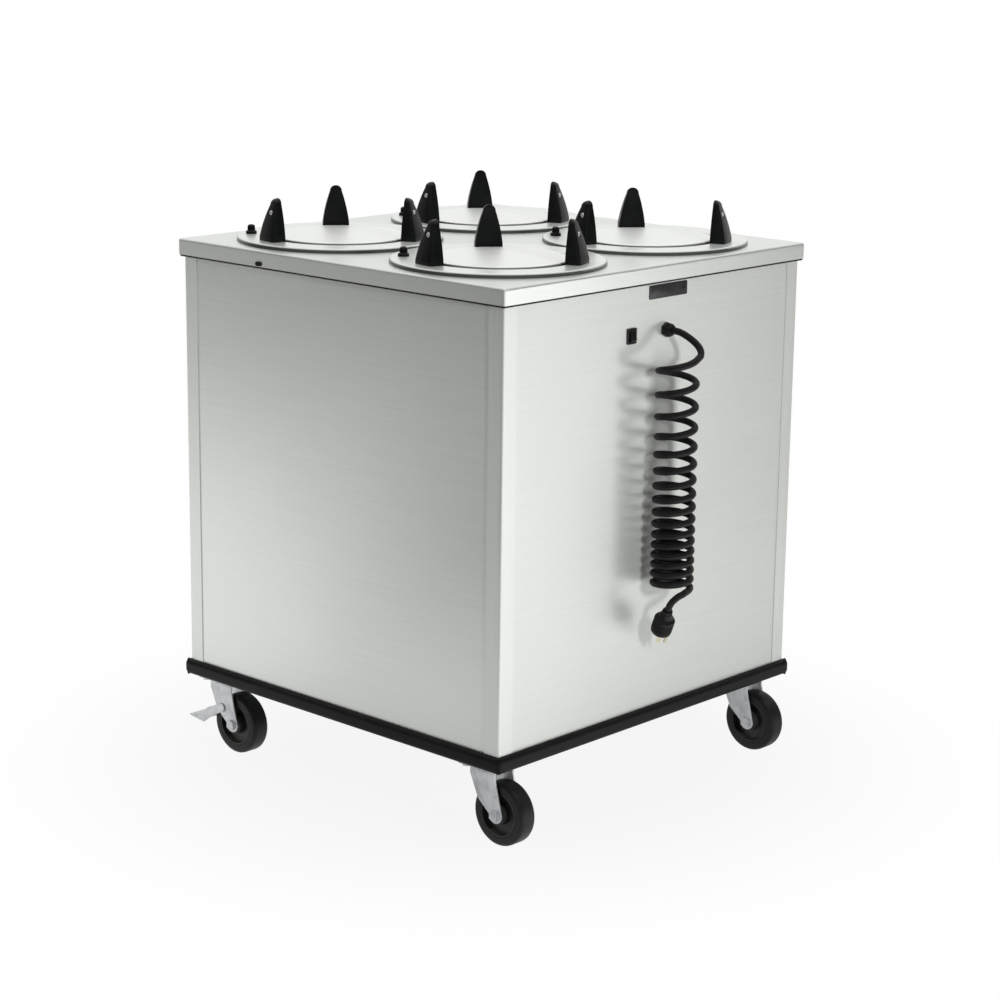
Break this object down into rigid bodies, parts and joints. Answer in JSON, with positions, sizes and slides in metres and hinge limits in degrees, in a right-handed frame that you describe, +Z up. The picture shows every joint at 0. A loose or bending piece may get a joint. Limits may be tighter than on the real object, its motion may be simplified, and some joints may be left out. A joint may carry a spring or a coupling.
{
  "type": "heated plate dispenser",
  "caption": "Mobile heated cabinet that stores and lifts plates: sprung carriers in round wells, upright guides round each mouth, swivel casters, a bumper and a coiled power cord.",
  "frame": {"origin": "on the floor, under the middle of the cabinet", "axes": "+Z up; -Y out of the front, the face with the switch and the cord; +X to the right seen from behind the front face looking along +Y"},
  "size_m": [0.734, 0.8269, 0.95],
  "materials": {
    "stainless_deck": "bright satin stainless sheet",
    "stainless_panel": "brushed stainless sheet",
    "galvanised_steel": "galvanised steel sheet",
    "zinc_plate": "zinc plated steel",
    "spring_steel": "wound spring wire",
    "heater_steel": "oxidised heater sheath",
    "label_aluminium": "plain anodised plate",
    "guide_plastic": "black moulded nylon",
    "knob_plastic": "black moulded knob",
    "switch_plastic": "black rocker",
    "control_plastic": "phenolic moulding",
    "vinyl_black": "extruded black vinyl",
    "wheel_rubber": "moulded black rubber",
    "cord_rubber": "matte black cord jacket",
    "plug_rubber": "moulded black plug",
    "blade_brass": "plug blades"
  },
  "bodies": {
    "cabinet": {"base_frame": "galvanised_steel", "carrier_springs_1": "spring_steel", "carrier_springs_2": "spring_steel", "carrier_springs_3": "spring_steel", "carrier_springs_4": "spring_steel", "caster_bolts": "zinc_plate", "caster_plates": "zinc_plate", "cord_coil": "cord_rubber", "cord_gland": "plug_rubber", "cord_lead": "cord_rubber", "cord_tail": "cord_rubber", "corner_posts": "stainless_panel", "dispenser_flange_1": "stainless_deck", "dispenser_flange_2": "stainless_deck", "dispenser_flange_3": "stainless_deck", "dispenser_flange_4": "stainless_deck", "dispenser_rails_1": "galvanised_steel", "dispenser_rails_2": "galvanised_steel", "dispenser_rails_3": "galvanised_steel", "dispenser_rails_4": "galvanised_steel", "flange_knobs": "knob_plastic", "floor_pan": "galvanised_steel", "front_panel": "stainless_panel", "heater_clips": "galvanised_steel", "heater_elements": "heater_steel", "junction_box": "galvanised_steel", "left_panel": "stainless_panel", "name_plate": "label_aluminium", "perimeter_bumper": "vinyl_black", "plate_guides_1": "guide_plastic", "plate_guides_2": "guide_plastic", "plate_guides_3": "guide_plastic", "plate_guides_4": "guide_plastic", "plug_blades": "blade_brass", "plug_body": "plug_rubber", "rear_panel": "stainless_panel", "right_panel": "stainless_panel", "rim_plug": "vinyl_black", "switch_bezel": "switch_plastic", "thermostat": "control_plastic", "top_deck": "stainless_deck"},
    "carrier_1": {"plate_carrier_1": "stainless_deck"},
    "swivel_1": {"caster_fork_1": "zinc_plate", "caster_axle_1": "zinc_plate"},
    "wheel_1": {"caster_wheel_1": "wheel_rubber"},
    "carrier_2": {"plate_carrier_2": "stainless_deck"},
    "swivel_2": {"caster_fork_2": "zinc_plate", "caster_axle_2": "zinc_plate"},
    "wheel_2": {"caster_wheel_2": "wheel_rubber"},
    "carrier_3": {"plate_carrier_3": "stainless_deck"},
    "swivel_3": {"caster_fork_3": "zinc_plate", "caster_axle_3": "zinc_plate"},
    "wheel_3": {"caster_wheel_3": "wheel_rubber"},
    "carrier_4": {"plate_carrier_4": "stainless_deck"},
    "swivel_4": {"caster_fork_4": "zinc_plate", "caster_axle_4": "zinc_plate"},
    "wheel_4": {"caster_wheel_4": "wheel_rubber"},
    "pedal_3": {"brake_pedal_3": "zinc_plate"},
    "pedal_4": {"brake_pedal_4": "zinc_plate"},
    "rocker": {"switch_rocker": "switch_plastic"}
  },
  "joints": [
    {"name": "carrier_1_slide", "type": "slide", "parent": "cabinet", "child": "carrier_1", "axis": [0, 0, -1], "range_m": [0, 0.48], "stiffness_N_per_m": 850, "springref_m": -0.05, "deforming": ["carrier_springs_1"]},
    {"name": "carrier_2_slide", "type": "slide", "parent": "cabinet", "child": "carrier_2", "axis": [0, 0, -1], "range_m": [0, 0.48], "stiffness_N_per_m": 850, "springref_m": -0.05, "deforming": ["carrier_springs_2"]},
    {"name": "carrier_3_slide", "type": "slide", "parent": "cabinet", "child": "carrier_3", "axis": [0, 0, -1], "range_m": [0, 0.48], "stiffness_N_per_m": 850, "springref_m": -0.05, "deforming": ["carrier_springs_3"]},
    {"name": "carrier_4_slide", "type": "slide", "parent": "cabinet", "child": "carrier_4", "axis": [0, 0, -1], "range_m": [0, 0.48], "stiffness_N_per_m": 850, "springref_m": -0.05, "deforming": ["carrier_springs_4"]},
    {"name": "caster_1_swivel", "type": "hinge", "parent": "cabinet", "child": "swivel_1", "pos_m": [-0.316, -0.306, 0.12], "axis": [0, 0, 1], "continuous": true},
    {"name": "caster_1_wheel", "type": "hinge", "parent": "swivel_1", "child": "wheel_1", "pos_m": [-0.316, -0.334, 0.051], "axis": [1, 0, 0], "continuous": true},
    {"name": "caster_2_swivel", "type": "hinge", "parent": "cabinet", "child": "swivel_2", "pos_m": [0.316, -0.306, 0.12], "axis": [0, 0, 1], "continuous": true},
    {"name": "caster_2_wheel", "type": "hinge", "parent": "swivel_2", "child": "wheel_2", "pos_m": [0.316, -0.334, 0.051], "axis": [1, 0, 0], "continuous": true},
    {"name": "caster_3_swivel", "type": "hinge", "parent": "cabinet", "child": "swivel_3", "pos_m": [0.316, 0.306, 0.12], "axis": [0, 0, 1], "continuous": true},
    {"name": "caster_3_wheel", "type": "hinge", "parent": "swivel_3", "child": "wheel_3", "pos_m": [0.316, 0.278, 0.051], "axis": [1, 0, 0], "continuous": true},
    {"name": "caster_4_swivel", "type": "hinge", "parent": "cabinet", "child": "swivel_4", "pos_m": [-0.316, 0.306, 0.12], "axis": [0, 0, 1], "continuous": true},
    {"name": "caster_4_wheel", "type": "hinge", "parent": "swivel_4", "child": "wheel_4", "pos_m": [-0.316, 0.278, 0.051], "axis": [1, 0, 0], "continuous": true},
    {"name": "brake_3_pedal", "type": "hinge", "parent": "swivel_3", "child": "pedal_3", "pos_m": [0.316, 0.303, 0.076], "axis": [-1, 0, 0], "range_deg": [0, 7]},
    {"name": "brake_4_pedal", "type": "hinge", "parent": "swivel_4", "child": "pedal_4", "pos_m": [-0.316, 0.303, 0.076], "axis": [-1, 0, 0], "range_deg": [0, 7]},
    {"name": "switch_rock", "type": "hinge", "parent": "cabinet", "child": "rocker", "pos_m": [-0.067, -0.3574, 0.769], "axis": [1, 0, 0], "range_deg": [0, 20]}
  ]
}
